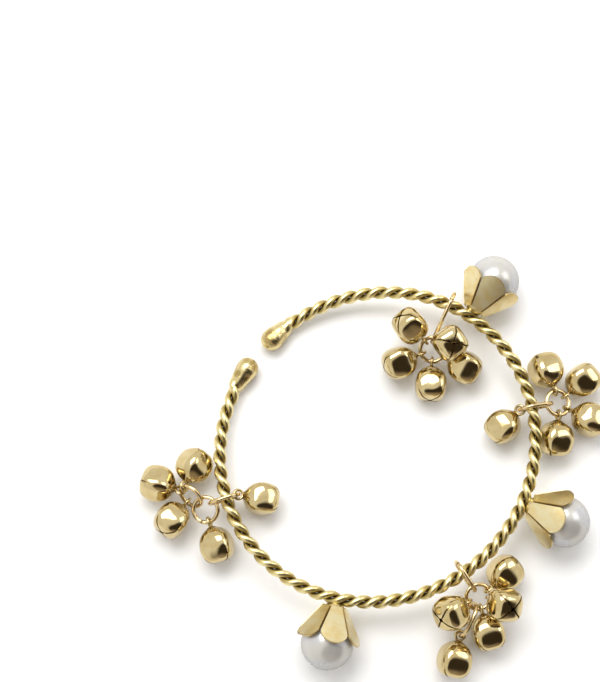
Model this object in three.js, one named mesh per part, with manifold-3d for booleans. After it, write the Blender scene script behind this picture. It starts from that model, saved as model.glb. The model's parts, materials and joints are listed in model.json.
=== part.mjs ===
// An open bangle of two twisted brass wires, with three pearls in petal caps and four clusters of
// small jingle bells, lying on a table. Millimetres and degrees, +Z up. The origin is the centre of
// the hoop, on the table. Angles around the hoop run counter-clockwise from +X, seen from above.
import * as THREE from "three";
import { mergeVertices } from "three/addons/utils/BufferGeometryUtils.js";
import Module from "manifold-3d";

// The hoop: a slightly oval open ring whose two ends are sprung down to the table
const HOOP_LONG_RADIUS = 30.8;
const HOOP_SHORT_RADIUS = 29.15;
const HOOP_LONG_AXIS_DEG = 37;
const FIRST_END_DEG = 134;
const LAST_END_DEG = -211;
const END_DROOP_DEG = 70;
const HOOP_REST_HEIGHT = 6.1;
const TANGENT_STEP_DEG = 0.05;

// The twisted wire
const STRAND_DIAMETER = 1.32;
const STRAND_GAP = 0.1;
const LAY_LENGTH = 6;
const STRAND_STEPS_PER_TURN = 8;
const STRAND_SAMPLES_PER_STEP = 8;
const STRAND_SIDES = 5;

// The drops on the wire's ends
const DROP_DIAMETER = 4.5;
const DROP_LENGTH = 8;
const DROP_NECK_DIAMETER = 2.6;
const DROP_FLAT_LENGTH = 1.5;
const DROP_SIDES = 10;

// Pearls and their petal caps
const PEARL_DIAMETER = 10;
const PEARL_REACH = 8.5;
const PEARL_SIDES = 12;
const PEARL_BANDS = 7;
const CAP_BASE_DIAMETER = 4;
const CAP_SHEET = 0.3;
const PETAL_COUNT = 6;
const PETAL_LENGTH = 7.3;
const PETAL_WIDTH = 4.6;
const PETAL_TIP_RADIUS = 1.7;
const PETAL_TIP_FULLNESS = 0.42;
const PETAL_TIP_STEPS = 2;
const PETAL_FOOT_SHARE = 0.95;
const PEG_DIAMETER = 1.2;
const PEG_DEPTH = 2.6;
const PEG_SIDES = 6;

// Jump rings and hanger rings
const RING_RADIUS = 2.4;
const RING_WIRE = 0.8;
const HANGER_RADIUS = 2.15;
const RING_STEPS = 14;
const RING_SIDES = 6;

// Bells and the pellet in each
const BELL_DIAMETER = 7.4;
const BELL_HEIGHT = 6.8;
const BELL_WALL = 0.35;
const BELL_SIDES = 8;
const SLIT_WIDTH = 0.7;
const SLIT_HEIGHT = 1.9;
const EYE_RADIUS = 0.95;
const EYE_WIRE = 0.55;
const EYE_STAND = 0.2;
const EYE_STEPS = 6;
const EYE_SIDES = 4;
const PELLET_DIAMETER = 2.2;
const PELLET_SIDES = 6;
const PELLET_BANDS = 4;

// Clearances between pieces that touch or fit on the real bangle
const SEAT_GAP = 0.2;
const LINK_GAP = 0.12;
const HANGER_SLACK = 0.7;
const TABLE_GAP = 0.2;
const WELD_DISTANCE = 0.00001;

// The three pearls: place around the hoop, and turn of the petals about the pearl's own axis
const PEARLS = [
  { name: "1", hoopDeg: 53.9, petalTurnDeg: 6 },
  { name: "2", hoopDeg: -22.2, petalTurnDeg: 12 },
  { name: "3", hoopDeg: -105.3, petalTurnDeg: -9 },
];

// The four clusters. A hanger goes round the rope at hoopDeg, points outward or inward, stands off
// the rope by hangerReach and slopes down by hangerSlopeDeg. A ring hooks into an earlier ring at
// hookDeg, turned about that ring's wire by turnDeg, swung square to it by swingDeg, and rolled.
// A bell's eye is at eyeDeg on its ring. A bell lies on the table, unless liftDeg says otherwise.
const CLUSTERS = [
  {
    name: "a",
    hoopDeg: 62.5,
    inward: true,
    hangerReach: 6.51,
    hangerSlopeDeg: 12,
    rings: [{ name: "ring_a", on: "hanger_a", hookDeg: 0, turnDeg: 30, swingDeg: 8, rollDeg: 0 }],
    bells: [
      { on: "ring_a", eyeDeg: -76 },
      { on: "ring_a", eyeDeg: -9 },
      { on: "ring_a", eyeDeg: 56.5 },
      { on: "ring_a", eyeDeg: 117, liftDeg: 73 },
      { on: "ring_a", eyeDeg: -144, liftDeg: 26 },
    ],
  },
  {
    name: "b",
    hoopDeg: 13.4,
    inward: false,
    hangerReach: 2.51,
    hangerSlopeDeg: 10,
    rings: [{ name: "ring_b", on: "hanger_b", hookDeg: 0, turnDeg: 0, swingDeg: 10, rollDeg: 0 }],
    bells: [
      { on: "ring_b", eyeDeg: 92 },
      { on: "ring_b", eyeDeg: 30 },
      { on: "ring_b", eyeDeg: -38, liftDeg: 14 },
      { on: "ring_b", eyeDeg: -100 },
      { on: "hanger_b", eyeDeg: 215, liftDeg: 30 },
    ],
  },
  {
    name: "c",
    hoopDeg: -56.9,
    inward: false,
    hangerReach: 2.51,
    hangerSlopeDeg: 10,
    rings: [
      { name: "ring_c", on: "hanger_c", hookDeg: 0, turnDeg: 0, swingDeg: 8, rollDeg: 0 },
      { name: "link_c", on: "ring_c", hookDeg: -60, turnDeg: -8, swingDeg: 0, rollDeg: 0, stretch: 1.8 },
    ],
    bells: [
      { on: "ring_c", eyeDeg: 94 },
      { on: "ring_c", eyeDeg: 50, liftDeg: 75 },
      { on: "ring_c", eyeDeg: -19 },
      { on: "link_c", eyeDeg: 0, liftDeg: 12 },
      { on: "ring_c", eyeDeg: -103, liftDeg: 34 },
    ],
  },
  {
    name: "d",
    hoopDeg: -160.4,
    inward: false,
    hangerReach: 1.91,
    hangerSlopeDeg: 8,
    rings: [
      { name: "ring_d", on: "hanger_d", hookDeg: 0, turnDeg: 35, swingDeg: 8, rollDeg: 0 },
      { name: "link_d", on: "ring_d", hookDeg: -95, turnDeg: -6, swingDeg: 0, rollDeg: 48 },
    ],
    bells: [
      { on: "link_d", eyeDeg: -30 },
      { on: "link_d", eyeDeg: 17 },
      { on: "link_d", eyeDeg: 94 },
      { on: "ring_d", eyeDeg: 54 },
      { on: "hanger_d", eyeDeg: 203, liftDeg: -26 },
    ],
  },
];

const wasm = await Module();
wasm.setup();

const UP = new THREE.Vector3(0, 0, 1);
const rad = THREE.MathUtils.degToRad;

const satinGold = () => new THREE.MeshStandardMaterial({ color: 0xd9c07a, roughness: 0.35, metalness: 1 });
const polishedGold = () => new THREE.MeshStandardMaterial({ color: 0xcfae62, roughness: 0.12, metalness: 1 });
const ringGold = () => new THREE.MeshStandardMaterial({ color: 0xe0bf85, roughness: 0.2, metalness: 1 });
const capGold = () => new THREE.MeshStandardMaterial({ color: 0xd6c592, roughness: 0.3, metalness: 1 });
const pearlWhite = () => new THREE.MeshStandardMaterial({ color: 0xf1eef0, roughness: 0.2, metalness: 0 });
const steelGrey = () => new THREE.MeshStandardMaterial({ color: 0x8d8a84, roughness: 0.4, metalness: 1 });

const bangle = new THREE.Group();

// Solid joining and cutting
function solid(geometry) {
  const bare = geometry.index ? geometry.toNonIndexed() : geometry.clone();
  bare.deleteAttribute("normal");
  bare.deleteAttribute("uv");
  const merged = mergeVertices(bare, WELD_DISTANCE);
  const mesh = new wasm.Mesh({
    numProp: 3,
    vertProperties: Float32Array.from(merged.attributes.position.array),
    triVerts: Uint32Array.from(merged.index.array),
  });
  return new wasm.Manifold(mesh);
}

function geometryOf(manifold) {
  const mesh = manifold.getMesh();
  const geometry = new THREE.BufferGeometry();
  geometry.setAttribute("position", new THREE.BufferAttribute(Float32Array.from(mesh.vertProperties), 3));
  geometry.setIndex(new THREE.BufferAttribute(Uint32Array.from(mesh.triVerts), 1));
  geometry.computeVertexNormals();
  return geometry;
}

// A lathe profile runs from one point on the axis to another: [radius, height] pairs going up
function lathe(profile, sides) {
  const points = profile.map(([radius, height]) => new THREE.Vector2(radius, height));
  return new THREE.LatheGeometry(points, sides);
}

function addMesh(name, geometry, material, placement) {
  const mesh = new THREE.Mesh(geometry, material);
  mesh.name = name;
  mesh.position.copy(placement.origin);
  mesh.quaternion.setFromRotationMatrix(new THREE.Matrix4().makeBasis(placement.x, placement.y, placement.z));
  bangle.add(mesh);
}

// Sizes that follow from the ones at the top
const helixRadius = (STRAND_DIAMETER + STRAND_GAP) / 2;
const ropeRadius = STRAND_DIAMETER + STRAND_GAP / 2;
const meanHoopRadius = (HOOP_LONG_RADIUS + HOOP_SHORT_RADIUS) / 2;
const capSeat = ropeRadius + SEAT_GAP;
const baseRadius = CAP_BASE_DIAMETER / 2;
const pearlRadius = PEARL_DIAMETER / 2;

// The petals lean out just enough to lie along the pearl without touching it
const petalRun = PEARL_REACH - capSeat - CAP_SHEET;
const petalLean = Math.asin((pearlRadius + SEAT_GAP) / Math.hypot(petalRun, baseRadius))
  - Math.atan2(baseRadius, petalRun);
const petalTipSpread = baseRadius + PETAL_LENGTH * Math.sin(petalLean) + CAP_SHEET * Math.cos(petalLean);

// The hoop stands on the petal tips, or on its clusters if those are taller, and its ends stand on
// the flats of the drops
const hoopHeight = Math.max(petalTipSpread, HOOP_REST_HEIGHT);
const dropFlatRadius = (DROP_DIAMETER / 2) * Math.cos(Math.PI / DROP_SIDES);
const droop = hoopHeight - dropFlatRadius;

function hoopRadius(deg) {
  const turned = rad(deg - HOOP_LONG_AXIS_DEG);
  return 1 / Math.hypot(Math.cos(turned) / HOOP_LONG_RADIUS, Math.sin(turned) / HOOP_SHORT_RADIUS);
}

// The plan of the oval at an angle, and the way square out of it there
function hoopPlan(deg) {
  return new THREE.Vector3(Math.cos(rad(deg)), Math.sin(rad(deg)), 0).multiplyScalar(hoopRadius(deg));
}

function hoopOut(deg) {
  const along = hoopPlan(deg + TANGENT_STEP_DEG).sub(hoopPlan(deg - TANGENT_STEP_DEG)).normalize();
  return along.cross(UP);
}

// One place on the rope's centre line: the point, the way out of the hoop and the way along it
function hoopFrame(deg) {
  const fromEnd = Math.min(FIRST_END_DEG - deg, deg - LAST_END_DEG);
  const eased = THREE.MathUtils.smoothstep(END_DROOP_DEG - fromEnd, 0, END_DROOP_DEG);
  const out = hoopOut(deg);
  return {
    point: hoopPlan(deg).setZ(hoopHeight - droop * eased),
    out,
    along: new THREE.Vector3().crossVectors(UP, out),
  };
}

// The drop on an end of the rope, turned so that a flat of its side faces the table
const dropRadius = DROP_DIAMETER / 2;
const neckRadius = DROP_NECK_DIAMETER / 2;
const ballCentre = DROP_LENGTH - dropRadius;
const ballStart = ballCentre - DROP_FLAT_LENGTH / 2;
const ballEnd = ballCentre + DROP_FLAT_LENGTH / 2;
const dropProfile = [
  [0, 0],
  [neckRadius, 0],
  [neckRadius + (dropRadius - neckRadius) * 0.3, ballStart * 0.45],
  [neckRadius + (dropRadius - neckRadius) * 0.75, ballStart * 0.8],
  [dropRadius, ballStart],
  [dropRadius, ballEnd],
  [dropRadius * 0.75, ballEnd + (DROP_LENGTH - ballEnd) * 0.65],
  [0, DROP_LENGTH],
];

function addDrop(name, endDeg, way) {
  const end = hoopFrame(endDeg);
  const axis = end.along.clone().multiplyScalar(way);
  const geometry = lathe(dropProfile, DROP_SIDES);
  geometry.rotateY(Math.PI / DROP_SIDES);
  const origin = end.point.clone().addScaledVector(axis, -ballCentre);
  const side = new THREE.Vector3().crossVectors(axis, UP);
  addMesh(name, geometry, satinGold(), { origin, x: side, y: axis, z: UP });
}
addDrop("end_drop_1", FIRST_END_DEG, 1);
addDrop("end_drop_2", LAST_END_DEG, -1);

// The two strands run between the necks of the drops. Their ends are cut square to the strand, so
// they stop short of the neck by the slant of the cut.
const layAngle = Math.atan2(2 * Math.PI * helixRadius, LAY_LENGTH);
const endClearance = (STRAND_DIAMETER / 2) * Math.sin(layAngle) + SEAT_GAP;
const endDegrees = (deg) => THREE.MathUtils.radToDeg((ballCentre + endClearance) / hoopRadius(deg));
const strandFirstDeg = LAST_END_DEG + endDegrees(LAST_END_DEG);
const strandLastDeg = FIRST_END_DEG - endDegrees(FIRST_END_DEG);
const strandTurns = (rad(strandLastDeg - strandFirstDeg) * meanHoopRadius) / LAY_LENGTH;

class Strand extends THREE.Curve {
  constructor(phase) {
    super();
    this.phase = phase;
    this.arcLengthDivisions = Math.ceil(strandTurns) * STRAND_STEPS_PER_TURN * STRAND_SAMPLES_PER_STEP;
  }

  getPoint(t, target = new THREE.Vector3()) {
    const frame = hoopFrame(THREE.MathUtils.lerp(strandFirstDeg, strandLastDeg, t));
    const turn = this.phase + 2 * Math.PI * strandTurns * t;
    target.copy(frame.point);
    target.addScaledVector(frame.out, helixRadius * Math.cos(turn));
    return target.addScaledVector(UP, helixRadius * Math.sin(turn));
  }
}

function polygon(radius, sides) {
  const corners = Array.from({ length: sides }, (_, k) => (2 * Math.PI * k) / sides);
  return new THREE.Shape(corners.map((a) => new THREE.Vector2(radius * Math.cos(a), radius * Math.sin(a))));
}

function addStrand(name, phase) {
  const geometry = new THREE.ExtrudeGeometry(polygon(STRAND_DIAMETER / 2, STRAND_SIDES), {
    steps: Math.ceil(strandTurns * STRAND_STEPS_PER_TURN),
    bevelEnabled: false,
    extrudePath: new Strand(phase),
  });
  const x = new THREE.Vector3(1, 0, 0);
  const y = new THREE.Vector3(0, 1, 0);
  addMesh(name, geometry, satinGold(), { origin: new THREE.Vector3(), x, y, z: UP });
}
addStrand("strand_1", 0);
addStrand("strand_2", Math.PI);

// A pearl with a blind hole for its peg. Its axis is +Y and its centre is the origin.
function pearlGeometry() {
  const profile = Array.from({ length: PEARL_BANDS + 1 }, (_, k) => {
    const angle = -Math.PI / 2 + (Math.PI * k) / PEARL_BANDS;
    return [pearlRadius * Math.cos(angle), pearlRadius * Math.sin(angle)];
  });
  profile[0][0] = 0;
  profile[PEARL_BANDS][0] = 0;
  const holeRadius = PEG_DIAMETER / 2 + SEAT_GAP;
  const hole = new THREE.CylinderGeometry(holeRadius, holeRadius, 2 * (PEG_DEPTH + SEAT_GAP), PEG_SIDES);
  hole.translate(0, -pearlRadius, 0);
  return geometryOf(solid(lathe(profile, PEARL_SIDES)).subtract(solid(hole)));
}

// A stamped cap: a round base, six flat petals and a peg. Its axis is +Y, and the origin is the
// pearl's centre.
function capGeometry(turnDeg) {
  const seat = capSeat - PEARL_REACH;
  const base = new THREE.CylinderGeometry(baseRadius, baseRadius, CAP_SHEET, PETAL_COUNT);
  base.translate(0, seat + CAP_SHEET / 2, 0);
  const pegLength = PEG_DEPTH - pearlRadius - seat;
  const peg = new THREE.CylinderGeometry(PEG_DIAMETER / 2, PEG_DIAMETER / 2, pegLength, PEG_SIDES);
  peg.translate(0, seat + pegLength / 2, 0);
  let cap = solid(base).add(solid(peg));

  const footHalf = baseRadius * Math.tan(Math.PI / PETAL_COUNT) * PETAL_FOOT_SHARE;
  const shoulder = PETAL_LENGTH - PETAL_TIP_RADIUS;
  const outline = new THREE.Shape();
  outline.moveTo(-footHalf, -CAP_SHEET);
  outline.lineTo(footHalf, -CAP_SHEET);
  outline.lineTo(PETAL_WIDTH / 2, shoulder);
  outline.quadraticCurveTo(PETAL_WIDTH * PETAL_TIP_FULLNESS, PETAL_LENGTH, 0, PETAL_LENGTH);
  outline.quadraticCurveTo(-PETAL_WIDTH * PETAL_TIP_FULLNESS, PETAL_LENGTH, -PETAL_WIDTH / 2, shoulder);
  for (let k = 0; k < PETAL_COUNT; k += 1) {
    const petal = new THREE.ExtrudeGeometry(outline, {
      depth: CAP_SHEET,
      bevelEnabled: false,
      curveSegments: PETAL_TIP_STEPS,
    });
    petal.rotateX(petalLean);
    petal.translate(0, seat + CAP_SHEET, baseRadius);
    petal.rotateY((2 * Math.PI * k) / PETAL_COUNT + rad(turnDeg));
    cap = cap.add(solid(petal));
  }
  return geometryOf(cap);
}

for (const pearl of PEARLS) {
  const frame = hoopFrame(pearl.hoopDeg);
  const origin = frame.point.clone().addScaledVector(frame.out, PEARL_REACH);
  const side = new THREE.Vector3().crossVectors(frame.out, UP);
  const place = { origin, x: side, y: frame.out, z: UP };
  addMesh(`pearl_${pearl.name}`, pearlGeometry(), pearlWhite(), place);
  addMesh(`pearl_cap_${pearl.name}`, capGeometry(pearl.petalTurnDeg), capGold(), place);
}

// A closed wire ring in the XY plane, pulled long along X by stretch
function ringGeometry(radius, stretch) {
  const geometry = new THREE.TorusGeometry(radius, RING_WIRE / 2, RING_SIDES, RING_STEPS);
  const position = geometry.attributes.position;
  for (let k = 0; k < position.count; k += 1) {
    position.setX(k, position.getX(k) + (Math.sign(position.getX(k)) * stretch) / 2);
  }
  return geometry;
}

// A place on a ring: the wire's centre, the way out of the ring there and the way along the wire
function ringPoint(ring, deg) {
  const angle = rad(deg);
  const outward = ring.x.clone().multiplyScalar(Math.cos(angle)).addScaledVector(ring.y, Math.sin(angle));
  const along = ring.y.clone().multiplyScalar(Math.cos(angle)).addScaledVector(ring.x, -Math.sin(angle));
  const half = (Math.sign(Math.cos(angle)) * ring.stretch) / 2;
  const point = ring.origin.clone().addScaledVector(ring.x, half).addScaledVector(outward, ring.radius);
  return { point, outward, along };
}

function addRing(name, ring) {
  addMesh(name, ringGeometry(ring.radius, ring.stretch), ringGold(), ring);
}

// A hanger stands upright round the rope, with the rope at its near end
function hangerRing(cluster) {
  const frame = hoopFrame(cluster.hoopDeg);
  const level = frame.out.clone().multiplyScalar(cluster.inward ? -1 : 1);
  const across = new THREE.Vector3().crossVectors(level, UP);
  const slope = rad(cluster.hangerSlopeDeg);
  const x = level.clone().applyAxisAngle(across, -slope);
  const y = UP.clone().applyAxisAngle(across, -slope);
  const nearEnd = RING_WIRE / 2 + ropeRadius + HANGER_SLACK;
  const stretch = cluster.hangerReach + ropeRadius + nearEnd - 2 * HANGER_RADIUS;
  return {
    origin: frame.point.clone().addScaledVector(x, HANGER_RADIUS + stretch / 2 - nearEnd),
    x,
    y,
    z: across,
    radius: HANGER_RADIUS,
    stretch,
  };
}

// A ring hooked into another one lies square to it, with its wire just inside the other's wire
function hookedRing(parent, spec) {
  const hook = ringPoint(parent, spec.hookDeg);
  const level = hook.outward.clone().applyAxisAngle(hook.along, rad(spec.turnDeg));
  const across = new THREE.Vector3().crossVectors(hook.along, level).normalize();
  const x = level.clone().applyAxisAngle(across, rad(spec.swingDeg));
  const y = across.clone().applyAxisAngle(x, rad(spec.rollDeg));
  const stretch = spec.stretch ?? 0;
  const reach = RING_RADIUS + stretch / 2 - RING_WIRE - LINK_GAP;
  return {
    origin: hook.point.clone().addScaledVector(x, reach),
    x,
    y,
    z: new THREE.Vector3().crossVectors(x, y),
    radius: RING_RADIUS,
    stretch,
  };
}

// A bell in its own frame: the eye's centre is the origin, the shell hangs along -Y and the wire
// that the eye hangs on runs along Z
const bellRadius = BELL_DIAMETER / 2;
const shellTop = -(EYE_RADIUS + EYE_WIRE * EYE_STAND);
const shellBottom = shellTop - BELL_HEIGHT;
const bellCentre = -shellTop + BELL_HEIGHT / 2;
const cavityRadius = (bellRadius - BELL_WALL) * Math.cos(Math.PI / BELL_SIDES);
const pelletDrop = cavityRadius - PELLET_DIAMETER / 2 - SEAT_GAP;

function bellGeometry() {
  const height = (share) => shellBottom + BELL_HEIGHT * share;
  const outer = [
    [0, height(0)],
    [bellRadius * 0.62, height(0.03)],
    [bellRadius * 0.9, height(0.18)],
    [bellRadius, height(0.5)],
    [bellRadius * 0.85, height(0.78)],
    [bellRadius * 0.36, height(0.97)],
    [0, height(1)],
  ];
  const inner = [
    [0, height(0) + BELL_WALL],
    [bellRadius * 0.6 - BELL_WALL * 0.5, height(0.03) + BELL_WALL],
    [bellRadius - BELL_WALL, height(0.5)],
    [bellRadius * 0.36, height(0.97) - BELL_WALL * 1.6],
    [0, height(1) - BELL_WALL * 1.6],
  ];
  const slit = new THREE.BoxGeometry(SLIT_WIDTH, SLIT_HEIGHT, BELL_DIAMETER * 2);
  slit.translate(0, shellBottom + SLIT_HEIGHT / 2 - BELL_WALL, 0);
  slit.rotateY(Math.PI / 4);
  const crossSlit = slit.clone().rotateY(Math.PI / 2);
  const eye = new THREE.TorusGeometry(EYE_RADIUS, EYE_WIRE / 2, EYE_SIDES, EYE_STEPS);
  const shell = solid(lathe(outer, BELL_SIDES))
    .subtract(solid(lathe(inner, BELL_SIDES)))
    .subtract(solid(slit))
    .subtract(solid(crossSlit));
  const eyeAbove = solid(eye).subtract(solid(lathe(inner, BELL_SIDES)));
  return geometryOf(shell.add(eyeAbove));
}

// How far a bell on a ring turns about the wire to lie on the table
function restLift(place, normal) {
  const level = bellCentre * place.outward.z;
  const raise = bellCentre * normal.z;
  const climb = bellRadius + TABLE_GAP - place.point.z;
  return Math.asin(climb / Math.hypot(level, raise)) - Math.atan2(level, raise);
}

const bell = bellGeometry();
const pellet = new THREE.SphereGeometry(PELLET_DIAMETER / 2, PELLET_SIDES, PELLET_BANDS);

function addBell(name, ring, spec) {
  const place = ringPoint(ring, spec.eyeDeg);
  const lift = spec.liftDeg === undefined ? restLift(place, ring.z) : rad(spec.liftDeg);
  const hang = place.outward.clone().multiplyScalar(Math.cos(lift)).addScaledVector(ring.z, Math.sin(lift));
  const y = hang.clone().negate();
  const x = new THREE.Vector3().crossVectors(y, place.along);
  addMesh(`bell_${name}`, bell.clone(), polishedGold(), { origin: place.point, x, y, z: place.along });

  const low = x.clone().multiplyScalar(-Math.sign(x.z || 1));
  const centre = place.point.clone().addScaledVector(hang, bellCentre).addScaledVector(low, pelletDrop);
  addMesh(`pellet_${name}`, pellet.clone(), steelGrey(), { origin: centre, x, y, z: place.along });
}

for (const cluster of CLUSTERS) {
  const rings = { [`hanger_${cluster.name}`]: hangerRing(cluster) };
  for (const spec of cluster.rings) {
    rings[spec.name] = hookedRing(rings[spec.on], spec);
  }
  for (const [name, ring] of Object.entries(rings)) {
    addRing(name, ring);
  }
  cluster.bells.forEach((spec, k) => addBell(`${cluster.name}${k + 1}`, rings[spec.on], spec));
}

export default bangle;
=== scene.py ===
import json
import math
import random

import bmesh
import bpy
from mathutils import Matrix, Vector, noise


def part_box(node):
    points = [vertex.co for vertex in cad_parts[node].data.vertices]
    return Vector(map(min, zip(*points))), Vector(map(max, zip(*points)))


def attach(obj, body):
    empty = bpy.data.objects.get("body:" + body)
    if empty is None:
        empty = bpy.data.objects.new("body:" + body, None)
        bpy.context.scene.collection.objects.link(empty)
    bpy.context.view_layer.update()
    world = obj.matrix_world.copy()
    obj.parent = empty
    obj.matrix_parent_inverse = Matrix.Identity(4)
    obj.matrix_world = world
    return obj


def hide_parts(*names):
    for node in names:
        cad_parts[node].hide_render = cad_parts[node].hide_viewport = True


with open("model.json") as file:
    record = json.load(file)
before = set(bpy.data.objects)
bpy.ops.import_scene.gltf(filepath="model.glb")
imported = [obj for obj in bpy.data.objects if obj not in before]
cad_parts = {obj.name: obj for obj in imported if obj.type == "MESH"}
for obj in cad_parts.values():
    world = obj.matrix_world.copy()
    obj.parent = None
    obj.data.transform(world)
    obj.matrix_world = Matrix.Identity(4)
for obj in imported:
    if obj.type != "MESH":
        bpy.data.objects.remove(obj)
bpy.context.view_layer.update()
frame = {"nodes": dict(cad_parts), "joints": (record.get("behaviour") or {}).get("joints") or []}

# The hoop's two strands are round brass wire, drawn through a plate that leaves faint lines along it,
# then twisted together left-handed and bent into an open ring. They are gold plated and left satin:
# the crests of the twist are rubbed pale, and the crease between the strands is painted dark, as tarnish and
# as painted shade.
MM = 0.001
UP = Vector((0, 0, 1))
HOOP_LONG_RADIUS = 30.8 * MM
HOOP_SHORT_RADIUS = 29.15 * MM
HOOP_LONG_AXIS_DEG = 37
FIRST_END_DEG = 134
LAST_END_DEG = -211
END_DROOP_DEG = 70
DROP_LENGTH = 8 * MM
DROP_RADIUS = 2.25 * MM
DROP_FLAT_RADIUS = DROP_RADIUS * math.cos(math.pi / 10)
STRAND_RADIUS = 0.66 * MM
HELIX_RADIUS = 0.68 * MM
LAY_LENGTH = 6 * MM
STRAND_STEPS_PER_TURN = 26
STRAND_SIDES = 22
STRAND_LINES = 9
LINE_DEPTH = 0.009 * MM
CREST_FLAT = 0.05
SWELL = 0.02
SWELL_PACE = 0.11
STRAND_CUT = 0.594 * MM
STRAND_TUCK = 1.3 * MM
TANGENT_STEP_DEG = 0.05
SHARP_EDGE_DEG = 48
ROPE_TARNISH_AND_SHADE = (0.19, 0.135, 0.04, 1)
ROPE_PLATE = (0.50, 0.395, 0.155, 1)
ROPE_RUBBED = (0.77, 0.66, 0.34, 1)

pearl_low, pearl_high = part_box("pearl_2")
hoop_height = (pearl_low.z + pearl_high.z) / 2


def smooth(x):
    x = min(1.0, max(0.0, x))
    return x * x * (3 - 2 * x)


def hoop_radius(deg):
    turned = math.radians(deg - HOOP_LONG_AXIS_DEG)
    return 1 / math.hypot(math.cos(turned) / HOOP_LONG_RADIUS, math.sin(turned) / HOOP_SHORT_RADIUS)


def hoop_plan(deg):
    return Vector((math.cos(math.radians(deg)), math.sin(math.radians(deg)), 0)) * hoop_radius(deg)


def hoop_place(deg):
    """A place on the rope's centre line: the point, the way out of the hoop and the way along it."""
    from_end = min(FIRST_END_DEG - deg, deg - LAST_END_DEG)
    droop = (hoop_height - DROP_FLAT_RADIUS) * smooth((END_DROOP_DEG - from_end) / END_DROOP_DEG)
    along = (hoop_plan(deg + TANGENT_STEP_DEG) - hoop_plan(deg - TANGENT_STEP_DEG)).normalized()
    return hoop_plan(deg) + UP * (hoop_height - droop), along.cross(UP), along


def skin(bm, rows, ends="capped"):
    """Quads between rings of points. The ends are capped, joined in a loop, or closed across a sheet."""
    rings = [[bm.verts.new(p) for p in row] for row in rows]
    pairs = list(zip(rings, rings[1:]))
    if ends == "loop":
        pairs.append((rings[-1], rings[0]))
    for here, there in pairs:
        for i in range(len(here)):
            j = (i + 1) % len(here)
            bm.faces.new((here[i], here[j], there[j], there[i]))
    if ends == "capped":
        bm.faces.new(rings[0][::-1])
        bm.faces.new(rings[-1])
    if ends == "sheet":
        for ring in (rings[0], rings[-1]):
            for i in range(len(ring) // 2 - 1):
                bm.faces.new((ring[i], ring[i + 1], ring[-2 - i], ring[-1 - i]))
    return rings


def finished(name, bm, finish):
    """A smooth-shaded object of the mesh, in the finish."""
    bmesh.ops.recalc_face_normals(bm, faces=bm.faces)
    mesh = bpy.data.meshes.new(name)
    bm.to_mesh(mesh)
    bm.free()
    mesh.shade_smooth()
    mesh.set_sharp_from_angle(angle=math.radians(SHARP_EDGE_DEG))
    mesh.materials.append(finish.owner)
    made = bpy.data.objects.new(name, mesh)
    bpy.context.scene.collection.objects.link(made)
    return made


class Value:
    """The output of a node. Arithmetic on it adds Math nodes."""

    def __init__(self, finish, socket):
        self.finish = finish
        self.socket = socket

    def math(self, operation, first, second):
        return self.finish.node("ShaderNodeMath", {"operation": operation}, {0: first, 1: second})

    def __add__(self, other):
        return self.math("ADD", self, other)

    def __sub__(self, other):
        return self.math("SUBTRACT", self, other)

    def __rsub__(self, other):
        return self.math("SUBTRACT", other, self)

    def __mul__(self, other):
        return self.math("MULTIPLY", self, other)

    __radd__ = __add__
    __rmul__ = __mul__


class Finish:
    """A finish under way: the nodes of one material, or of the room's light."""

    def __init__(self, owner):
        self.owner = owner
        owner.use_nodes = True
        self.tree = owner.node_tree
        self.shader = next(n for n in self.tree.nodes if n.type in ("BSDF_PRINCIPLED", "BACKGROUND"))

    def node(self, kind, settings, sockets, output=0):
        made = self.tree.nodes.new(kind)
        for name, value in settings.items():
            setattr(made, name, value)
        self.feed(made, sockets)
        return Value(self, made.outputs[output])

    def feed(self, node, sockets):
        for key, value in sockets.items():
            if isinstance(value, Value):
                self.tree.links.new(value.socket, node.inputs[key])
            else:
                node.inputs[key].default_value = value

    def place(self):
        return self.node("ShaderNodeTexCoord", {}, {}, "Object")

    def speckle(self, size_mm, detail, where=None):
        """Noise from 0 to 1 whose spots are about as large as size_mm."""
        sockets = {"Vector": where or self.place(), "Scale": 1 / (size_mm * MM), "Detail": detail}
        return self.node("ShaderNodeTexNoise", {}, sockets)

    def painted(self, name):
        """A number that the mesh keeps for each of its points."""
        return self.node("ShaderNodeAttribute", {"attribute_name": name}, {}, "Fac")

    def step(self, value, low, high):
        """0 below low, 1 above high, and smooth between them."""
        return self.node("ShaderNodeMapRange", {"interpolation_type": "SMOOTHSTEP"},
                         {"Value": value, "From Min": low, "From Max": high})

    def mix(self, share, first, second):
        """A colour between two others."""
        return self.node("ShaderNodeMix", {"data_type": "RGBA"}, {0: share, 6: first, 7: second}, 2)

    def bump(self, height, depth_mm, strength):
        return self.node("ShaderNodeBump", {},
                         {"Height": height, "Distance": depth_mm * MM, "Strength": strength})


def keep_numbers(made, name, numbers):
    """Keeps one number for each point of the mesh, for the finish to read."""
    store = made.data.attributes.new(name, "FLOAT", "POINT")
    store.data.foreach_set("value", numbers)


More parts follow.
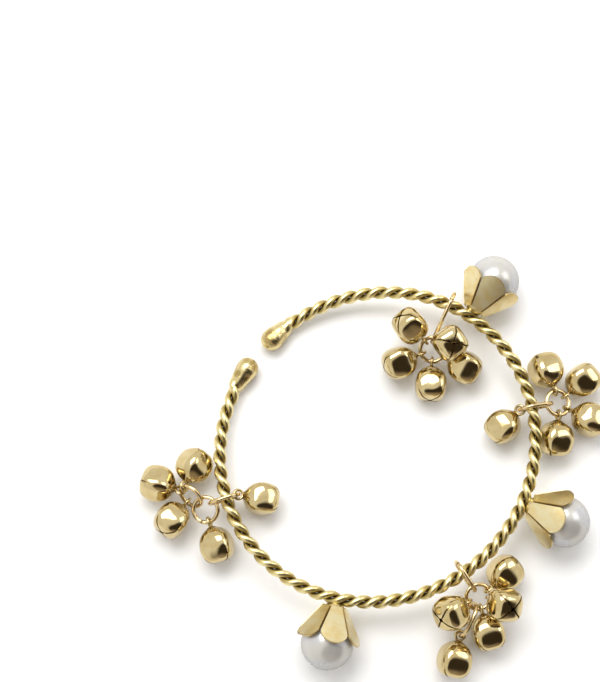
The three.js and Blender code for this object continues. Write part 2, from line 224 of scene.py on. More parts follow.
rope_gold = Finish(bpy.data.materials.new("satin_rope_gold"))
crest = rope_gold.painted("crest")
along_strand = rope_gold.painted("along")
around_strand = rope_gold.painted("around")
drawn_lines = rope_gold.speckle(1000, 3, rope_gold.node(
    "ShaderNodeCombineXYZ", {}, {"X": around_strand * 22, "Y": along_strand * 0.5, "Z": 0.0}))
cloudy = rope_gold.speckle(2.6, 3)
grain = rope_gold.speckle(0.12, 2)
# the crease between the strands is painted darker: tarnish, and painted shade where the strands hide it from
# the light
tarnish_and_shade = rope_gold.mix(rope_gold.step(crest + (cloudy - 0.5) * 0.2, 0.12, 0.55),
                          ROPE_TARNISH_AND_SHADE, ROPE_PLATE)
rubbed = rope_gold.step(crest + (cloudy - 0.5) * 0.5 + (drawn_lines - 0.5) * 0.3, 0.68, 1.0)
rope_gold.feed(rope_gold.shader, {
    "Base Color": rope_gold.mix(rubbed, tarnish_and_shade, ROPE_RUBBED),
    "Metallic": 1.0,
    "Roughness": 0.38 - rubbed * 0.1 + (drawn_lines - 0.5) * 0.16 + (grain - 0.5) * 0.1,
    "Normal": rope_gold.bump(drawn_lines * 0.7 + grain * 0.3, 0.03, 0.5),
})

ball_centre = DROP_LENGTH - DROP_RADIUS
mean_radius = (HOOP_LONG_RADIUS + HOOP_SHORT_RADIUS) / 2


def from_last_end(reach):
    return LAST_END_DEG + math.degrees((ball_centre + reach) / hoop_radius(LAST_END_DEG))


def from_first_end(reach):
    return FIRST_END_DEG - math.degrees((ball_centre + reach) / hoop_radius(FIRST_END_DEG))


# the twist is counted between the cuts, and the wire runs on from there into the necks of the drops
cut_first, cut_last = from_last_end(STRAND_CUT), from_first_end(STRAND_CUT)
strand_first, strand_last = from_last_end(-STRAND_TUCK), from_first_end(-STRAND_TUCK)
cut_turns = math.radians(cut_last - cut_first) * mean_radius / LAY_LENGTH


def strand_turn(deg):
    return 2 * math.pi * cut_turns * (deg - cut_first) / (cut_last - cut_first)


def strand_point(deg, phase):
    centre, out, _ = hoop_place(deg)
    turn = phase + strand_turn(deg)
    lean = out * math.cos(turn) + UP * math.sin(turn)
    return centre + lean * HELIX_RADIUS, lean


for strand, phase in (("1", 0.0), ("2", math.pi)):
    bm = bmesh.new()
    steps = round(cut_turns * STRAND_STEPS_PER_TURN)
    rows, crests, alongs, arounds = [], [], [], []
    for k in range(steps + 1):
        deg = strand_first + (strand_last - strand_first) * k / steps
        centre, lean = strand_point(deg, phase)
        before, _ = strand_point(deg - TANGENT_STEP_DEG, phase)
        after, _ = strand_point(deg + TANGENT_STEP_DEG, phase)
        ahead = after - before
        across = ahead.cross(lean).normalized()
        lean = across.cross(ahead).normalized()
        swell = 1 + SWELL * noise.noise(Vector((k * SWELL_PACE, 5.0 * float(strand), 0)))
        row = []
        for side in range(STRAND_SIDES):
            angle = 2 * math.pi * side / STRAND_SIDES
            flat = 1 - CREST_FLAT * max(0.0, math.cos(angle)) ** 4
            radius = STRAND_RADIUS * flat * min(1.0, swell)
            radius -= LINE_DEPTH * (0.5 + 0.5 * math.cos(STRAND_LINES * angle))
            row.append(centre + (lean * math.cos(angle) + across * math.sin(angle)) * radius)
            crests.append(0.5 + 0.5 * math.cos(angle))
            alongs.append(k / STRAND_STEPS_PER_TURN)
            arounds.append(abs(angle - math.pi) / math.pi)
        rows.append(row)
    skin(bm, rows)
    wire = finished(f"wire_strand_{strand}", bm, rope_gold)
    keep_numbers(wire, "crest", crests)
    keep_numbers(wire, "along", alongs)
    keep_numbers(wire, "around", arounds)
    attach(wire, "bangle")
    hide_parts(f"strand_{strand}")

# A brass drop is soldered on each end of the rope. Its neck is swaged over the strands, so the twist
# runs on into it and fades out. The ball is lightly hammered, with one flat where it lies on the table.
# Its hammer dents are painted darker as painted shade, and bright specks are painted on it as painted
# glints.
NECK_RADIUS = 1.42 * MM
NECK_LIP_END = 0.15
FLUTE_DEPTH = 0.5 * MM
FLUTE_END = 0.46
BALL_MIDDLE = 0.7
DROP_ROWS = 54
DROP_ROW_BUNCHING = 1.35
DROP_SIDES = 56
HAMMER_MARKS = 46
HAMMER_RADIUS = 2.1 * MM
HAMMER_LIMIT = 1.3
MARK_SIZE = 0.62 * MM
MARK_DEPTH = 0.085 * MM
DROP_PLATE = (0.66, 0.54, 0.265, 1)
DROP_HOLLOW_SHADE = (0.42, 0.305, 0.11, 1)
DROP_PAINTED_GLINT = (0.86, 0.775, 0.49, 1)

drop_gold = Finish(bpy.data.materials.new("hammered_drop_gold"))
marks = drop_gold.painted("mark")
sparkle = drop_gold.speckle(0.22, 3)
cloudy = drop_gold.speckle(1.6, 2)
# the hammer dents are painted darker: painted shade in the hollows
shaded = drop_gold.mix(drop_gold.step(marks + (cloudy - 0.5) * 0.6, 0.2, 1.1),
                       DROP_PLATE, DROP_HOLLOW_SHADE)
drop_gold.feed(drop_gold.shader, {
    # bright specks painted into the colour: painted glints of the hammered facets
    "Base Color": drop_gold.mix(drop_gold.step(sparkle, 0.58, 0.74), shaded, DROP_PAINTED_GLINT),
    "Metallic": 1.0,
    "Roughness": 0.17 + (cloudy - 0.5) * 0.12 + sparkle * 0.14,
    "Normal": drop_gold.bump(sparkle, 0.045, 0.75),
})
drop_outline = [(0, 0.0), (0.06, 0.03), (0.2, 0.11), (0.36, 0.3), (0.5, 0.62), (0.6, 0.88), (0.7, 1.0),
                (0.8, 0.97), (0.88, 0.83), (0.94, 0.64), (0.98, 0.4), (1.0, 0.1)]


def outline_at(outline, share):
    """A number between the ones of an outline, at a share of the way along it."""
    for (here, low), (there, high) in zip(outline, outline[1:]):
        if share <= there:
            return low + (high - low) * (share - here) / (there - here)
    return outline[-1][1]


for end, end_deg, way in (("1", FIRST_END_DEG, 1), ("2", LAST_END_DEG, -1)):
    draw = random.Random(int(end))
    centre, _, along = hoop_place(end_deg)
    axis = along * way
    root = centre - axis * ball_centre
    side_way = axis.cross(UP)
    blows = []
    for _ in range(HAMMER_MARKS):
        turn = draw.uniform(0, 2 * math.pi)
        height = draw.uniform(0.42, 0.97) * DROP_LENGTH
        blow = Vector((math.cos(turn) * HAMMER_RADIUS, height, math.sin(turn) * HAMMER_RADIUS))
        blows.append((blow, draw.uniform(0.5, 1)))
    bm = bmesh.new()
    rows, hits = [], []
    for k in range(DROP_ROWS + 1):
        share = 1 - (1 - k / DROP_ROWS) ** DROP_ROW_BUNCHING
        grown = outline_at(drop_outline, share)
        reach = ball_centre - share * DROP_LENGTH
        turn = strand_turn(end_deg - way * math.degrees(reach / hoop_radius(end_deg)))
        if share < BALL_MIDDLE:
            lip = 0.66 + 0.34 * smooth(share / NECK_LIP_END)
            round_radius = NECK_RADIUS * lip + (DROP_RADIUS - NECK_RADIUS) * grown
        else:
            round_radius = DROP_RADIUS * grown
        flute = (1 - smooth(share / FLUTE_END)) * FLUTE_DEPTH
        row = []
        for side in range(DROP_SIDES):
            angle = 2 * math.pi * side / DROP_SIDES
            radius = round_radius - flute * (0.5 - 0.5 * math.cos(2 * (angle - way * turn)))
            spot = Vector((math.cos(angle) * radius, share * DROP_LENGTH, math.sin(angle) * radius))
            hit = sum(force * math.exp(-((spot - blow).length / MARK_SIZE) ** 2) for blow, force in blows)
            hit = min(HAMMER_LIMIT, hit)
            shrink = 1 - hit * MARK_DEPTH / max(radius, MARK_SIZE)
            spot = Vector((spot.x * shrink, spot.y, max(spot.z * shrink, -DROP_FLAT_RADIUS)))
            row.append(root + side_way * spot.x + axis * spot.y + UP * spot.z)
            hits.append(hit)
        rows.append(row)
    skin(bm, rows)
    drop = finished(f"drop_end_{end}", bm, drop_gold)
    keep_numbers(drop, "mark", hits)
    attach(drop, "bangle")
    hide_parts(f"end_drop_{end}")

# Three petal caps are stamped from thin brass sheet, bent up round the pearl and soldered to the outside
# of the rope. The plate is a pale champagne gold, satin on the flats and darker on the cut edges.
# where each pearl stands round the hoop, and how far its cap is turned, in degrees
PEARLS = {"1": (53.9, 6), "2": (-22.2, 12), "3": (-105.3, -9)}
PEARL_RADIUS = 5 * MM
PEARL_REACH = 8.5 * MM
CAP_SEAT = 1.57 * MM
CAP_BASE_RADIUS = 2 * MM
CAP_SHEET = 0.3 * MM
PETALS = 6
PETAL_LENGTH = 7.3 * MM
PETAL_HALF_WIDTH = 2.6 * MM
PETAL_FOOT_HALF = 1.1 * MM
PETAL_SHOULDER = 5.1 * MM
PETAL_DISH = 0.22 * MM
PETAL_BEND_MM = 0.12
PETAL_CLEARANCE = 0.2 * MM
PETAL_COLUMNS = 24
PETAL_ROWS = 18
PEG_RADIUS = 0.6 * MM
PEG_TOP = -2.5 * MM
PEG_SIDES = 28
CAP_PLATE = (0.70, 0.615, 0.37, 1)
CAP_DEEP = (0.66, 0.525, 0.25, 1)
CAP_CUT_EDGE = (0.50, 0.375, 0.17, 1)

cap_gold = Finish(bpy.data.materials.new("champagne_cap_gold"))
rim = cap_gold.painted("rim")
sheet_grain = cap_gold.speckle(0.09, 3)
cloudy = cap_gold.speckle(1.8, 3)
handled = cap_gold.speckle(0.5, 2)
plate = cap_gold.mix(cap_gold.step(cloudy, 0.35, 0.68), CAP_PLATE, CAP_DEEP)
plate = cap_gold.mix(cap_gold.step(rim, 0.6, 1.0), plate, CAP_CUT_EDGE)
cap_gold.feed(cap_gold.shader, {
    "Base Color": plate,
    "Metallic": 1.0,
    "Roughness": 0.33 + (cloudy - 0.5) * 0.14 + (sheet_grain - 0.5) * 0.16 - rim * 0.05,
    "Normal": cap_gold.bump(sheet_grain * 0.6 + handled * 0.4, 0.022, 0.5),
})


def lathe_rows(outline, sides):
    """Rings of points about the Y axis, from an outline of (radius, height) pairs."""
    turns = [2 * math.pi * k / sides for k in range(sides)]
    return [[Vector((math.cos(t) * radius, height, math.sin(t) * radius)) for t in turns]
            for radius, height in outline]


def petal_rows(lean, bend):
    """A petal's rings, up from its foot: across its outer face and back along its inner face."""
    rows = []
    for k in range(PETAL_ROWS + 1):
        row = []
        for face, order in ((CAP_SHEET, range(PETAL_COLUMNS + 1)), (0.0, range(PETAL_COLUMNS, -1, -1))):
            for column in order:
                across = math.sin(math.pi / 2 * (2 * column / PETAL_COLUMNS - 1))
                tip = PETAL_SHOULDER + (PETAL_LENGTH - PETAL_SHOULDER) * (1 - abs(across) ** 2.1) ** 0.55
                reach = (tip + CAP_SHEET) * k / PETAL_ROWS - CAP_SHEET
                grow = max(0.0, reach / PETAL_LENGTH)
                half = PETAL_FOOT_HALF + (PETAL_HALF_WIDTH - PETAL_FOOT_HALF) * min(1.0, grow * 1.35)
                aside = half * across
                depth = face - PETAL_DISH * grow * (aside / PETAL_HALF_WIDTH) ** 2
                depth -= bend * grow * across * 0.5
                row.append(Vector((aside, reach * math.cos(lean) - depth * math.sin(lean),
                                   reach * math.sin(lean) + depth * math.cos(lean))))
        rows.append(row)
    return rows


petal_run = PEARL_REACH - CAP_SEAT - CAP_SHEET
petal_lean = (math.asin((PEARL_RADIUS + PETAL_CLEARANCE) / math.hypot(petal_run, CAP_BASE_RADIUS))
              - math.atan2(CAP_BASE_RADIUS, petal_run))
seat = CAP_SEAT - PEARL_REACH
solder = [(0.3, -0.9), (0.8, -0.84), (1.2, -0.66), (1.5, -0.42), (1.78, -0.16), (1.98, 0.08),
          (2.03, 0.26), (1.85, 0.33), (0.75, 0.34)]
peg_outline = [(r * MM, seat + h * MM) for r, h in solder]
peg_outline += [(PEG_RADIUS, seat + 0.45 * MM), (PEG_RADIUS, PEG_TOP - 0.1 * MM),
                (PEG_RADIUS * 0.8, PEG_TOP)]


def pearl_place(hoop_deg):
    """Carries points from about the pearl's centre, with the rope below it, to the pearl's own place."""
    centre, out, _ = hoop_place(hoop_deg)
    to_pearl = Matrix((out.cross(UP), out, UP)).transposed().to_4x4()
    to_pearl.translation = centre + out * PEARL_REACH
    return to_pearl


for pearl, (hoop_deg, petal_turn) in PEARLS.items():
    draw = random.Random(40 + int(pearl))
    to_pearl = pearl_place(hoop_deg)
    bm = bmesh.new()
    rims = []
    for petal in range(PETALS):
        turn = Matrix.Rotation(2 * math.pi * petal / PETALS + math.radians(petal_turn), 4, "Y")
        lift = Vector((0, seat + CAP_SHEET, CAP_BASE_RADIUS))
        rows = petal_rows(petal_lean, draw.uniform(-PETAL_BEND_MM, PETAL_BEND_MM) * MM)
        skin(bm, [[to_pearl @ (turn @ (p + lift)) for p in row] for row in rows], "sheet")
        for k, row in enumerate(rows):
            tip = 1.0 if k == PETAL_ROWS else 0.0
            for i in range(len(row)):
                column = i % (PETAL_COLUMNS + 1)
                edge = 1.0 if column in (0, PETAL_COLUMNS) else 0.0
                rims.append(max(edge, tip))
    rows = lathe_rows(peg_outline, PEG_SIDES)
    skin(bm, [[to_pearl @ p for p in row] for row in rows])
    rims += [0.5] * (PEG_SIDES * len(rows))
    cap = finished(f"petal_cap_{pearl}", bm, cap_gold)
    keep_numbers(cap, "rim", rims)
    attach(cap, "bangle")
    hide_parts(f"pearl_cap_{pearl}")

# Each pearl is a moulded bead with a blind hole, dipped in pearl lacquer and glued over the cap's peg.
# The lacquer is white with a faint rose and blue bloom, greyer at the rim, under a thin clear coat.
BEAD_RADIUS = 4.94 * MM
PEARL_ROWS = 44
PEARL_SIDES = 64
PEARL_POLE = 0.02
HOLE_RADIUS = 0.8 * MM
HOLE_DEPTH = 2.8 * MM
HOLE_MOUTH = 0.12 * MM
HOLE_LIP = 0.15 * MM
PEARL_CREAM = (0.565, 0.55, 0.515, 1)
PEARL_BLUE = (0.53, 0.53, 0.545, 1)
PEARL_ROSE = (0.565, 0.515, 0.46, 1)
PEARL_RIM_SHINE = (0.42, 0.41, 0.40, 1)

pearl_white = Finish(bpy.data.materials.new("pearl_lacquer"))
bloom = pearl_white.speckle(4.2, 2)
drift = pearl_white.speckle(2.4, 3)
orange_peel = pearl_white.speckle(0.5, 2)
tinted = pearl_white.mix(pearl_white.step(bloom, 0.38, 0.64), PEARL_CREAM, PEARL_BLUE)
tinted = pearl_white.mix(pearl_white.step(drift, 0.42, 0.78) * 0.4, tinted, PEARL_ROSE)
pearl_white.feed(pearl_white.shader, {
    "Base Color": tinted,
    "Metallic": 0.45 + (bloom - 0.5) * 0.06,
    "Roughness": 0.27 + (bloom - 0.5) * 0.06,
    "Specular IOR Level": 0.15,
    "Specular Tint": PEARL_RIM_SHINE,
    "Coat Weight": 0.14 + (bloom - 0.5) * 0.1,
    "Coat Roughness": 0.06,
    "Normal": pearl_white.bump(orange_peel, 0.01, 0.06),
})
mouth = math.asin((HOLE_RADIUS + HOLE_MOUTH) / BEAD_RADIUS)
bead_outline = [(0.1 * MM, HOLE_DEPTH - BEAD_RADIUS), (HOLE_RADIUS, HOLE_DEPTH - BEAD_RADIUS),
                (HOLE_RADIUS, HOLE_LIP - BEAD_RADIUS)]
for k in range(PEARL_ROWS + 1):
    angle = mouth + (math.pi - PEARL_POLE - mouth) * k / PEARL_ROWS
    bead_outline.append((BEAD_RADIUS * math.sin(angle), -BEAD_RADIUS * math.cos(angle)))
for pearl, (hoop_deg, _) in PEARLS.items():
    to_pearl = pearl_place(hoop_deg)
    bm = bmesh.new()
    skin(bm, [[to_pearl @ p for p in row] for row in lathe_rows(bead_outline, PEARL_SIDES)])
    bead = finished(f"pearl_bead_{pearl}", bm, pearl_white)
    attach(bead, "bangle")
    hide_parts(f"pearl_{pearl}")

# Hanger rings, jump rings and links are coiled from round brass wire and cut, closed with pliers to a
# butt joint. Four hangers are squeezed long round the rope. Their plate is a bright, slightly rosy gold.
RING_WIRE_RADIUS = 0.4 * MM
RING_STEPS = 60
RING_SIDES = 16
BUTT_GAP_DEG = 1.6
LEAST_PULL = 0.2 * MM
TURNS_TO_SETTLE = 200
RING_PLATE = (0.74, 0.595, 0.345, 1)
RING_DEEP = (0.63, 0.465, 0.23, 1)
RING_CUT = (0.30, 0.19, 0.07, 1)
# the radius of each ring's round ends, in millimetres
RINGS = {"hanger_a": 2.15, "hanger_b": 2.15, "hanger_c": 2.15, "hanger_d": 2.15,
         "ring_a": 2.4, "ring_b": 2.4, "ring_c": 2.4, "ring_d": 2.4, "link_c": 2.4, "link_d": 2.4}

ring_gold = Finish(bpy.data.materials.new("bright_ring_gold"))
butt = ring_gold.painted("butt")
cloudy = ring_gold.speckle(0.9, 3)
scuffs = ring_gold.speckle(0.14, 3)
plate = ring_gold.mix(ring_gold.step(cloudy, 0.35, 0.7), RING_PLATE, RING_DEEP)
ring_gold.feed(ring_gold.shader, {
    "Base Color": ring_gold.mix(ring_gold.step(butt + (scuffs - 0.5) * 0.3, 0.3, 1.0), plate, RING_CUT),
    "Metallic": 1.0,
    "Roughness": 0.17 + (cloudy - 0.5) * 0.1 + (scuffs - 0.5) * 0.12 + butt * 0.2,
    "Normal": ring_gold.bump(scuffs, 0.018, 0.4),
})


def ring_frame(node):
    """A ring's centre, its long and short ways, its normal, and how far it reaches the long way."""
    points = [v.co for v in frame["nodes"][node].data.vertices]
    middle = sum(points, Vector()) / len(points)
    spread = Matrix(((0, 0, 0), (0, 0, 0), (0, 0, 0)))
    for p in points:
        d = (p - middle) / MM
        for i in range(3):
            for j in range(3):
                spread[i][j] += d[i] * d[j] / len(points)
    # the widest way by repeated turning towards the spread, and the narrowest by what is left of it
    long_way = Vector((0.6, 0.5, 0.4))
    for _ in range(TURNS_TO_SETTLE):
        long_way = (spread @ long_way).normalized()
    loose = Matrix.Identity(3) * sum(spread[i][i] for i in range(3)) - spread
    normal = Vector((0.3, -0.4, 0.8))
    for _ in range(TURNS_TO_SETTLE):
        normal = (loose @ normal).normalized()
    normal = (normal - long_way * normal.dot(long_way)).normalized()
    reach = max(abs((p - middle).dot(long_way)) for p in points)
    return middle, long_way, normal.cross(long_way), normal, reach


for ring, radius_mm in RINGS.items():
    middle, long_way, short_way, normal, reach = ring_frame(ring)
    radius = radius_mm * MM
    pulled = reach - radius - RING_WIRE_RADIUS
    half_pull = pulled if pulled > LEAST_PULL else 0.0
    draw = random.Random(ring)
    start = draw.uniform(20, 70) + 180 * draw.randrange(2)
    bm = bmesh.new()
    rows, butts = [], []
    for k in range(RING_STEPS + 1):
        angle = math.radians(start + BUTT_GAP_DEG / 2 + (360 - BUTT_GAP_DEG) * k / RING_STEPS)
        outward = long_way * math.cos(angle) + short_way * math.sin(angle)
        centre = middle + long_way * math.copysign(half_pull, math.cos(angle)) + outward * radius
        from_end = min(k, RING_STEPS - k)
        tube = RING_WIRE_RADIUS * (0.9 if from_end == 0 else 1.0)
        turns = [2 * math.pi * i / RING_SIDES for i in range(RING_SIDES)]
        rows.append([centre + (outward * math.cos(t) + normal * math.sin(t)) * tube for t in turns])
        butts += [1.0 if from_end == 0 else 0.35 if from_end == 1 else 0.0] * RING_SIDES
    skin(bm, rows)
    loop = finished(f"wire_{ring}", bm, ring_gold)
    keep_numbers(loop, "butt", butts)
    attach(loop, ring)
    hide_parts(ring)

# Each bell is stamped from thin brass as a cross of four leaves, which are folded round a pellet until
# their tips meet, so a narrow slit runs up each corner. A wire eye is soldered on the crown. The plated
# shell is polished bright, with brown tarnish along the slits and in the crown's solder.
BELL_RADIUS = 3.6 * MM
BELL_HEIGHT = 6.8 * MM
BELL_WALL = 0.22 * MM
BELL_TOP = -1.06 * MM
EYE_RADIUS = 0.88 * MM
EYE_WIRE_RADIUS = 0.275 * MM
EYE_STEPS = 28
EYE_SIDES = 12
SLIT_TOP = 0.21
SLIT_HALF = 0.08 * MM
SLIT_WANDER = 0.16
WIDEST_GAP = 0.62
LEAVES = 4
LEAF_COLUMNS = 16
LEAF_TUCK_MM = 0.12
LEAF_CURL = 0.1 * MM
DENT_SIZE = 3.2 * MM
DENT_DEPTH_MM = 0.16
WELD = 0.004 * MM
FILLET_SIDES = 24
FILLET_SOIL = 0.75
CROWN_SOIL_FROM = 0.93
TABLE_WEAR = 0.02 * MM
BELL_PLATE = (0.625, 0.51, 0.275, 1)
BELL_DEEP = (0.54, 0.42, 0.20, 1)
BELL_TARNISH = (0.26, 0.17, 0.06, 1)
BELLS = [f"{cluster}{k}" for cluster in "abcd" for k in range(1, 6)]

bell_gold = Finish(bpy.data.materials.new("polished_bell_gold"))
fold = bell_gold.painted("fold")
cloudy = bell_gold.speckle(2.2, 3)
hairlines = bell_gold.speckle(0.3, 4)
pits = bell_gold.speckle(0.12, 1)
plate = bell_gold.mix(bell_gold.step(cloudy, 0.32, 0.7), BELL_PLATE, BELL_DEEP)
soiled = bell_gold.step(fold + (hairlines - 0.5) * 0.5, 0.3, 1.0)
bell_gold.feed(bell_gold.shader, {
    "Base Color": bell_gold.mix(soiled, plate, BELL_TARNISH),
    "Metallic": 1.0,
    "Roughness": 0.1 + (cloudy - 0.5) * 0.07 + (hairlines - 0.5) * 0.06 + soiled * 0.16,
    "Normal": bell_gold.bump(hairlines * 0.6 + pits * 0.4, 0.012, 0.3),
})
bell_outline = [(0.0, 0.13), (0.006, 0.3), (0.022, 0.5), (0.055, 0.665), (0.11, 0.795), (0.2, 0.905),
                (0.33, 0.972), (0.46, 1.0), (0.58, 0.975), (0.69, 0.91), (0.785, 0.805), (0.865, 0.655),
                (0.93, 0.475), (0.972, 0.315), (0.994, 0.175), (1.0, 0.09)]
fillet = [(0.95, -0.13), (0.82, -0.02), (0.6, 0.07), (0.42, 0.16), (0.32, 0.27), (0.12, 0.3)]
fillet_outline = [(r * MM, BELL_TOP + h * MM) for r, h in fillet]


def rounded_outline(outline, cuts):
    """More pairs along an outline, on a smooth curve through the given ones."""
    made = []
    for k in range(len(outline) - 1):
        near = [Vector(outline[min(max(k + i, 0), len(outline) - 1)]) for i in (-1, 0, 1, 2)]
        for cut in range(cuts):
            t = cut / cuts
            ease = near[2] - near[0]
            curl = near[0] * 2 - near[1] * 5 + near[2] * 4 - near[3]
            snap = near[1] * 3 - near[0] - near[2] * 3 + near[3]
            made.append(tuple(near[1] + (ease * t + curl * t * t + snap * t ** 3) / 2))
    return made + [outline[-1]]


def squared(angle, share):
    """The bell's four-sided plan: 1 at the corners, less on the flats."""
    power = 2.5 + 1.2 * math.sin(math.pi * min(1.0, max(0.0, share))) ** 0.6
    plan = (abs(math.cos(angle)) ** power + abs(math.sin(angle)) ** power) ** (-1 / power)
    return plan / 2 ** (0.5 - 1 / power)


def leaf_rows(leaf, dents, tears, tuck):
    """One leaf of the shell, from its tip up to the crown, with how soiled each point is."""
    rows, soils = [], []
    for share, wide in rounded_outline(bell_outline, 2):
        radius = BELL_RADIUS * wide
        below = 1 - share / SLIT_TOP
        opening = SLIT_HALF * (1 + 0.9 * below) * math.sqrt(max(0.0, below))
        gap = math.asin(min(WIDEST_GAP, opening / radius)) if share < SLIT_TOP else 0.0
        row, soil = [], []
        for column in range(LEAF_COLUMNS + 1):
            even = 2 * column / LEAF_COLUMNS - 1
            across = math.copysign(abs(even) ** 0.85, even)
            tear = tears[leaf if across > 0 else leaf - 1]
            wander = SLIT_WANDER * noise.noise(Vector((share * 9, tear, 0)))
            wander *= smooth(below) * across * across
            angle = leaf * math.pi / 2 + across * (math.pi / 4 - gap) + wander
            folded = radius * squared(angle, share)
            height = BELL_TOP - BELL_HEIGHT * (1 - share)
            spot = Vector((math.cos(angle) * folded, height, math.sin(angle) * folded))
            dent = noise.noise(spot / DENT_SIZE + dents) * DENT_DEPTH_MM * MM
            inward = min(0.0, dent - 0.02 * MM) * math.sin(math.pi * min(1.0, share)) ** 0.5
            inward -= (LEAF_CURL * abs(across) ** 6 + tuck) * max(0.0, below)
            if share == bell_outline[-1][0]:
                inward = 0.0
            row.append(Vector((spot.x * (1 + inward / radius), height, spot.z * (1 + inward / radius))))
            slit = 1.0 if share < SLIT_TOP else max(0.0, 0.6 - (share - SLIT_TOP) / 0.1)
            soil.append(max(abs(across) ** 16 * slit, smooth((share - CROWN_SOIL_FROM) / 0.07)))
        rows.append(row)
        soils.append(soil)
    return rows, soils


for bell in BELLS:
    draw = random.Random("bell " + bell)
    hinge = next(j for j in frame["joints"] if j["child"] == f"bell_{bell}")
    pivot = Vector(hinge["pos_m"])
    wire_way = Vector(hinge["axis"]).normalized()
    points = [v.co for v in frame["nodes"][f"bell_{bell}"].data.vertices]
    hang = sum(points, Vector()) / len(points) - pivot
    hang = (hang - wire_way * hang.dot(wire_way)).normalized()
    to_bell = Matrix((wire_way.cross(hang), -hang, wire_way)).transposed().to_4x4()
    to_bell.translation = pivot
    bm = bmesh.new()
    soil_layer = bm.verts.layers.float.new("fold")
    dents = Vector((draw.uniform(0, 90), draw.uniform(0, 90), draw.uniform(0, 90)))
    tears = [draw.uniform(0, 90) for _ in range(LEAVES)]
    for leaf in range(LEAVES):
        rows, soils = leaf_rows(leaf, dents, tears, draw.uniform(0, LEAF_TUCK_MM) * MM)
        grid = [[bm.verts.new(p) for p in row] for row in rows]
        for verts, soil in zip(grid, soils):
            for vert, amount in zip(verts, soil):
                vert[soil_layer] = amount
        for here, there in zip(grid, grid[1:]):
            for i in range(LEAF_COLUMNS):
                bm.faces.new((here[i], there[i], there[i + 1], here[i + 1]))
    bmesh.ops.remove_doubles(bm, verts=bm.verts, dist=WELD)
    crown = [e for e in bm.edges if e.is_boundary and all(v.co.y > BELL_TOP - 0.01 * MM for v in e.verts)]
    bmesh.ops.contextual_create(bm, geom=crown)
    bmesh.ops.recalc_face_normals(bm, faces=bm.faces)
    bmesh.ops.solidify(bm, geom=list(bm.faces), thickness=BELL_WALL)
    rows = []
    for k in range(EYE_STEPS):
        turn = 2 * math.pi * k / EYE_STEPS
        outward = Vector((math.cos(turn), math.sin(turn), 0))
        turns = [2 * math.pi * i / EYE_SIDES for i in range(EYE_SIDES)]
        middle = outward * EYE_RADIUS
        rows.append([middle + (outward * math.cos(t) + UP * math.sin(t)) * EYE_WIRE_RADIUS for t in turns])
    skin(bm, rows, "loop")
    for ring in skin(bm, lathe_rows(fillet_outline, FILLET_SIDES)):
        for vert in ring:
            vert[soil_layer] = FILLET_SOIL
    bmesh.ops.transform(bm, matrix=to_bell, verts=bm.verts)
    for vert in bm.verts:
        vert.co.z = max(vert.co.z, TABLE_WEAR)
    shell = finished(f"ghungroo_{bell}", bm, bell_gold)
    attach(shell, f"bell_{bell}")
    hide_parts(f"bell_{bell}")

# A loose steel pellet rattles in each bell. It is a short end of plain wire, tumbled until it is nearly
# round and put in before the leaves are folded shut. It is never plated, and brown with a little rust.
PELLET_RADIUS = 0.9 * MM
KNOCK_SIZE = 0.7 * MM
KNOCK_DEPTH = 0.05
PELLET_GREY = (0.42, 0.40, 0.38, 1)
PELLET_RUST = (0.22, 0.17, 0.12, 1)

pellet_steel = Finish(bpy.data.materials.new("plain_pellet_steel"))
cloudy = pellet_steel.speckle(0.6, 3)
pits = pellet_steel.speckle(0.15, 2)
pellet_steel.feed(pellet_steel.shader, {
    "Base Color": pellet_steel.mix(pellet_steel.step(cloudy, 0.4, 0.65), PELLET_GREY, PELLET_RUST),
    "Metallic": 1.0,
    "Roughness": 0.38 + (cloudy - 0.5) * 0.3,
    "Normal": pellet_steel.bump(pits, 0.03, 0.6),
})
for bell in BELLS:
    low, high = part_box(f"pellet_{bell}")
    draw = random.Random("pellet " + bell)
    knock = Vector((draw.uniform(0, 90), draw.uniform(0, 90), draw.uniform(0, 90)))
    bm = bmesh.new()
    bmesh.ops.create_icosphere(bm, subdivisions=3, radius=PELLET_RADIUS)
    for vert in bm.verts:
        vert.co *= 1 - KNOCK_DEPTH * abs(noise.noise(vert.co / KNOCK_SIZE + knock))
    bmesh.ops.translate(bm, vec=(low + high) / 2, verts=bm.verts)
    rattle = finished(f"rattle_{bell}", bm, pellet_steel)
    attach(rattle, f"pellet_{bell}")
    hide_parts(f"pellet_{bell}")

# The bangle lies on a wide sheet of white card, in a tent of soft light. The tent is open towards the front,
# where the darker room shows in the bells. Two large soft boxes stand behind and beside the bangle.
FLOOR_HALF = 2.0
OPENING_WAY = (0.36, -0.63, 0.688)
TENT_STRENGTH = 1.04
CARD_WHITE = (0.97, 0.97, 0.97, 1)
TENT_WHITE = (1.0, 0.99, 0.97, 1)
ROOM_FLOOR = (0.42, 0.35, 0.29, 1)
ROOM_DARK = (0.05, 0.038, 0.028, 1)

floor_white = Finish(bpy.data.materials.new("white_card"))
floor_white.feed(floor_white.shader, {"Base Color": CARD_WHITE, "Roughness": 0.9, "Specular IOR Level": 0.1})
bm = bmesh.new()
corners = ((-1, -1), (1, -1), (1, 1), (-1, 1))
bm.faces.new([bm.verts.new((x * FLOOR_HALF, y * FLOOR_HALF, 0)) for x, y in corners])
card = finished("white_card_floor", bm, floor_white)

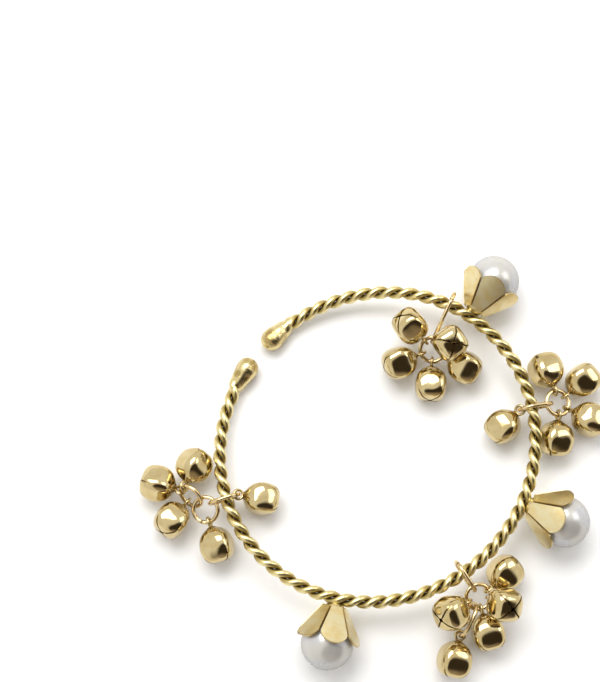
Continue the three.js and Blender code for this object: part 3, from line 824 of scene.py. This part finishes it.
tent = Finish(bpy.data.worlds.new("light_tent"))
bpy.context.scene.world = tent.owner
ray = tent.node("ShaderNodeTexCoord", {}, {}, "Generated")
towards = tent.node("ShaderNodeVectorMath", {"operation": "DOT_PRODUCT"}, {0: ray, 1: OPENING_WAY}, "Value")
northward = tent.node("ShaderNodeSeparateXYZ", {}, {"Vector": ray}, "Y")
room = tent.mix(tent.step(northward, -0.95, -0.55), ROOM_FLOOR, ROOM_DARK)
tent.feed(tent.shader, {
    "Color": tent.mix(tent.step(towards, 0.64, 0.80), TENT_WHITE, room),
    "Strength": TENT_STRENGTH,
})


def soft_box(name, where, size, watts):
    """A soft box that shines on the middle of the hoop."""
    lamp = bpy.data.lights.new(name, "AREA")
    lamp.shape = "RECTANGLE"
    lamp.size, lamp.size_y = size
    lamp.energy = watts
    made = bpy.data.objects.new(name, lamp)
    made.location = where
    made.rotation_mode = "QUATERNION"
    made.rotation_quaternion = Vector(where).to_track_quat("Z", "Y")
    bpy.context.scene.collection.objects.link(made)


soft_box("soft_box_back", (-0.10, 0.26, 0.46), (0.46, 0.26), 2.1)
soft_box("soft_box_side", (0.40, 0.16, 0.34), (0.26, 0.22), 0.4)

# The camera looks down from the front, nearly straight, and is set so that the bangle lies low and right
# in the picture.
VIEW_ELEVATION_DEG = 80
VIEW_DISTANCE = 300 * MM
VIEW_CENTRE = Vector((-14.83 * MM, 20.29 * MM, 0))
VIEW_LEVEL = 0.7
PICTURE_HEIGHT = 132.6 * MM
SENSOR_WIDTH = 36

lens = bpy.data.cameras.new("view")
lens.sensor_width = SENSOR_WIDTH
lens.lens = SENSOR_WIDTH * VIEW_DISTANCE / PICTURE_HEIGHT
camera = bpy.data.objects.new("view", lens)
tilt = math.radians(VIEW_ELEVATION_DEG)
back = Vector((0, -math.cos(tilt), math.sin(tilt)))
camera.location = VIEW_CENTRE + UP * hoop_height * VIEW_LEVEL + back * VIEW_DISTANCE
camera.rotation_mode = "QUATERNION"
camera.rotation_quaternion = back.to_track_quat("Z", "Y")
bpy.context.scene.collection.objects.link(camera)
bpy.context.scene.camera = camera
bpy.context.scene.view_settings.view_transform = "Standard"
